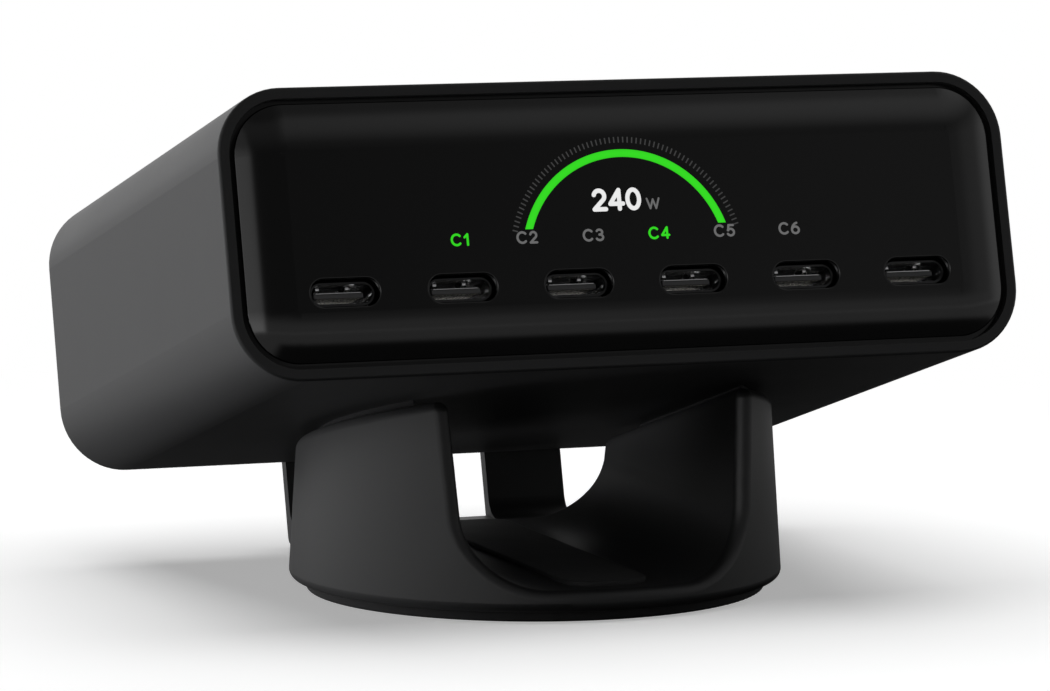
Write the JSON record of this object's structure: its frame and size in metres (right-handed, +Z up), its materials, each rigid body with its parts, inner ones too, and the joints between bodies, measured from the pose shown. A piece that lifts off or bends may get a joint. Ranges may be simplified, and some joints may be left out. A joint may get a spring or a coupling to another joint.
{
  "type": "multi port usb desktop charger",
  "caption": "Rounded-box desktop charger with a row of USB-C sockets and a lit power gauge behind a dark front panel, leaning back on a round stand with a cable channel.",
  "frame": {"origin": "middle of the stand's round foot, on the table", "axes": "+Z up, the ports face -Y and up, +X to the right seen from the front"},
  "size_m": [0.11, 0.093, 0.0715],
  "materials": {
    "sleeve": "satin dark grey, fine moulded grain",
    "smoked_panel": "polished smoked plastic",
    "dark_plastic": "matt moulded",
    "shell_steel": "drawn bright steel",
    "tongue_plastic": "moulded",
    "contact_gold": "gold plated",
    "display": "lit gauge on black",
    "circuit_board": "green solder mask",
    "pin_metal": "nickel plated",
    "ferrite": "sintered, dull",
    "winding": "enamelled copper wire",
    "capacitor_can": "sleeved can",
    "component_plastic": "moulded case",
    "bare_aluminium": "mill finish",
    "stand_plastic": "satin black, fine moulded grain",
    "soft_pad": "soft matt silicone"
  },
  "bodies": {
    "root": {"ac_inlet": "dark_plastic", "ac_pins": "pin_metal", "boost_coil": "winding", "boost_core": "ferrite", "bulk_cap_1": "capacitor_can", "bulk_cap_2": "capacitor_can", "bulk_cap_3": "capacitor_can", "display": "display", "display_board": "circuit_board", "film_cap": "component_plastic", "floor_strip": "soft_pad", "foot_pad": "soft_pad", "front_panel": "smoked_panel", "fuse": "component_plastic", "heat_spreader": "bare_aluminium", "inductor_1": "ferrite", "inductor_2": "ferrite", "inductor_3": "ferrite", "line_coil": "winding", "line_core": "ferrite", "main_board": "circuit_board", "output_cap_1": "capacitor_can", "output_cap_2": "capacitor_can", "output_cap_3": "capacitor_can", "port_board": "circuit_board", "rear_panel": "dark_plastic", "rectifier": "dark_plastic", "saddle_pad_left": "soft_pad", "saddle_pad_right": "soft_pad", "sink_primary": "bare_aluminium", "sink_secondary": "bare_aluminium", "sleeve": "sleeve", "stand": "stand_plastic", "stop_pad_left": "soft_pad", "stop_pad_right": "soft_pad", "tail_foot_left": "soft_pad", "tail_foot_right": "soft_pad", "transformer_coil": "winding", "transformer_core": "ferrite", "tray": "dark_plastic", "usb_contacts_1": "contact_gold", "usb_contacts_2": "contact_gold", "usb_contacts_3": "contact_gold", "usb_contacts_4": "contact_gold", "usb_contacts_5": "contact_gold", "usb_contacts_6": "contact_gold", "usb_shell_1": "shell_steel", "usb_shell_2": "shell_steel", "usb_shell_3": "shell_steel", "usb_shell_4": "shell_steel", "usb_shell_5": "shell_steel", "usb_shell_6": "shell_steel", "usb_tongue_1": "tongue_plastic", "usb_tongue_2": "tongue_plastic", "usb_tongue_3": "tongue_plastic", "usb_tongue_4": "tongue_plastic", "usb_tongue_5": "tongue_plastic", "usb_tongue_6": "tongue_plastic"}
  },
  "joints": []
}
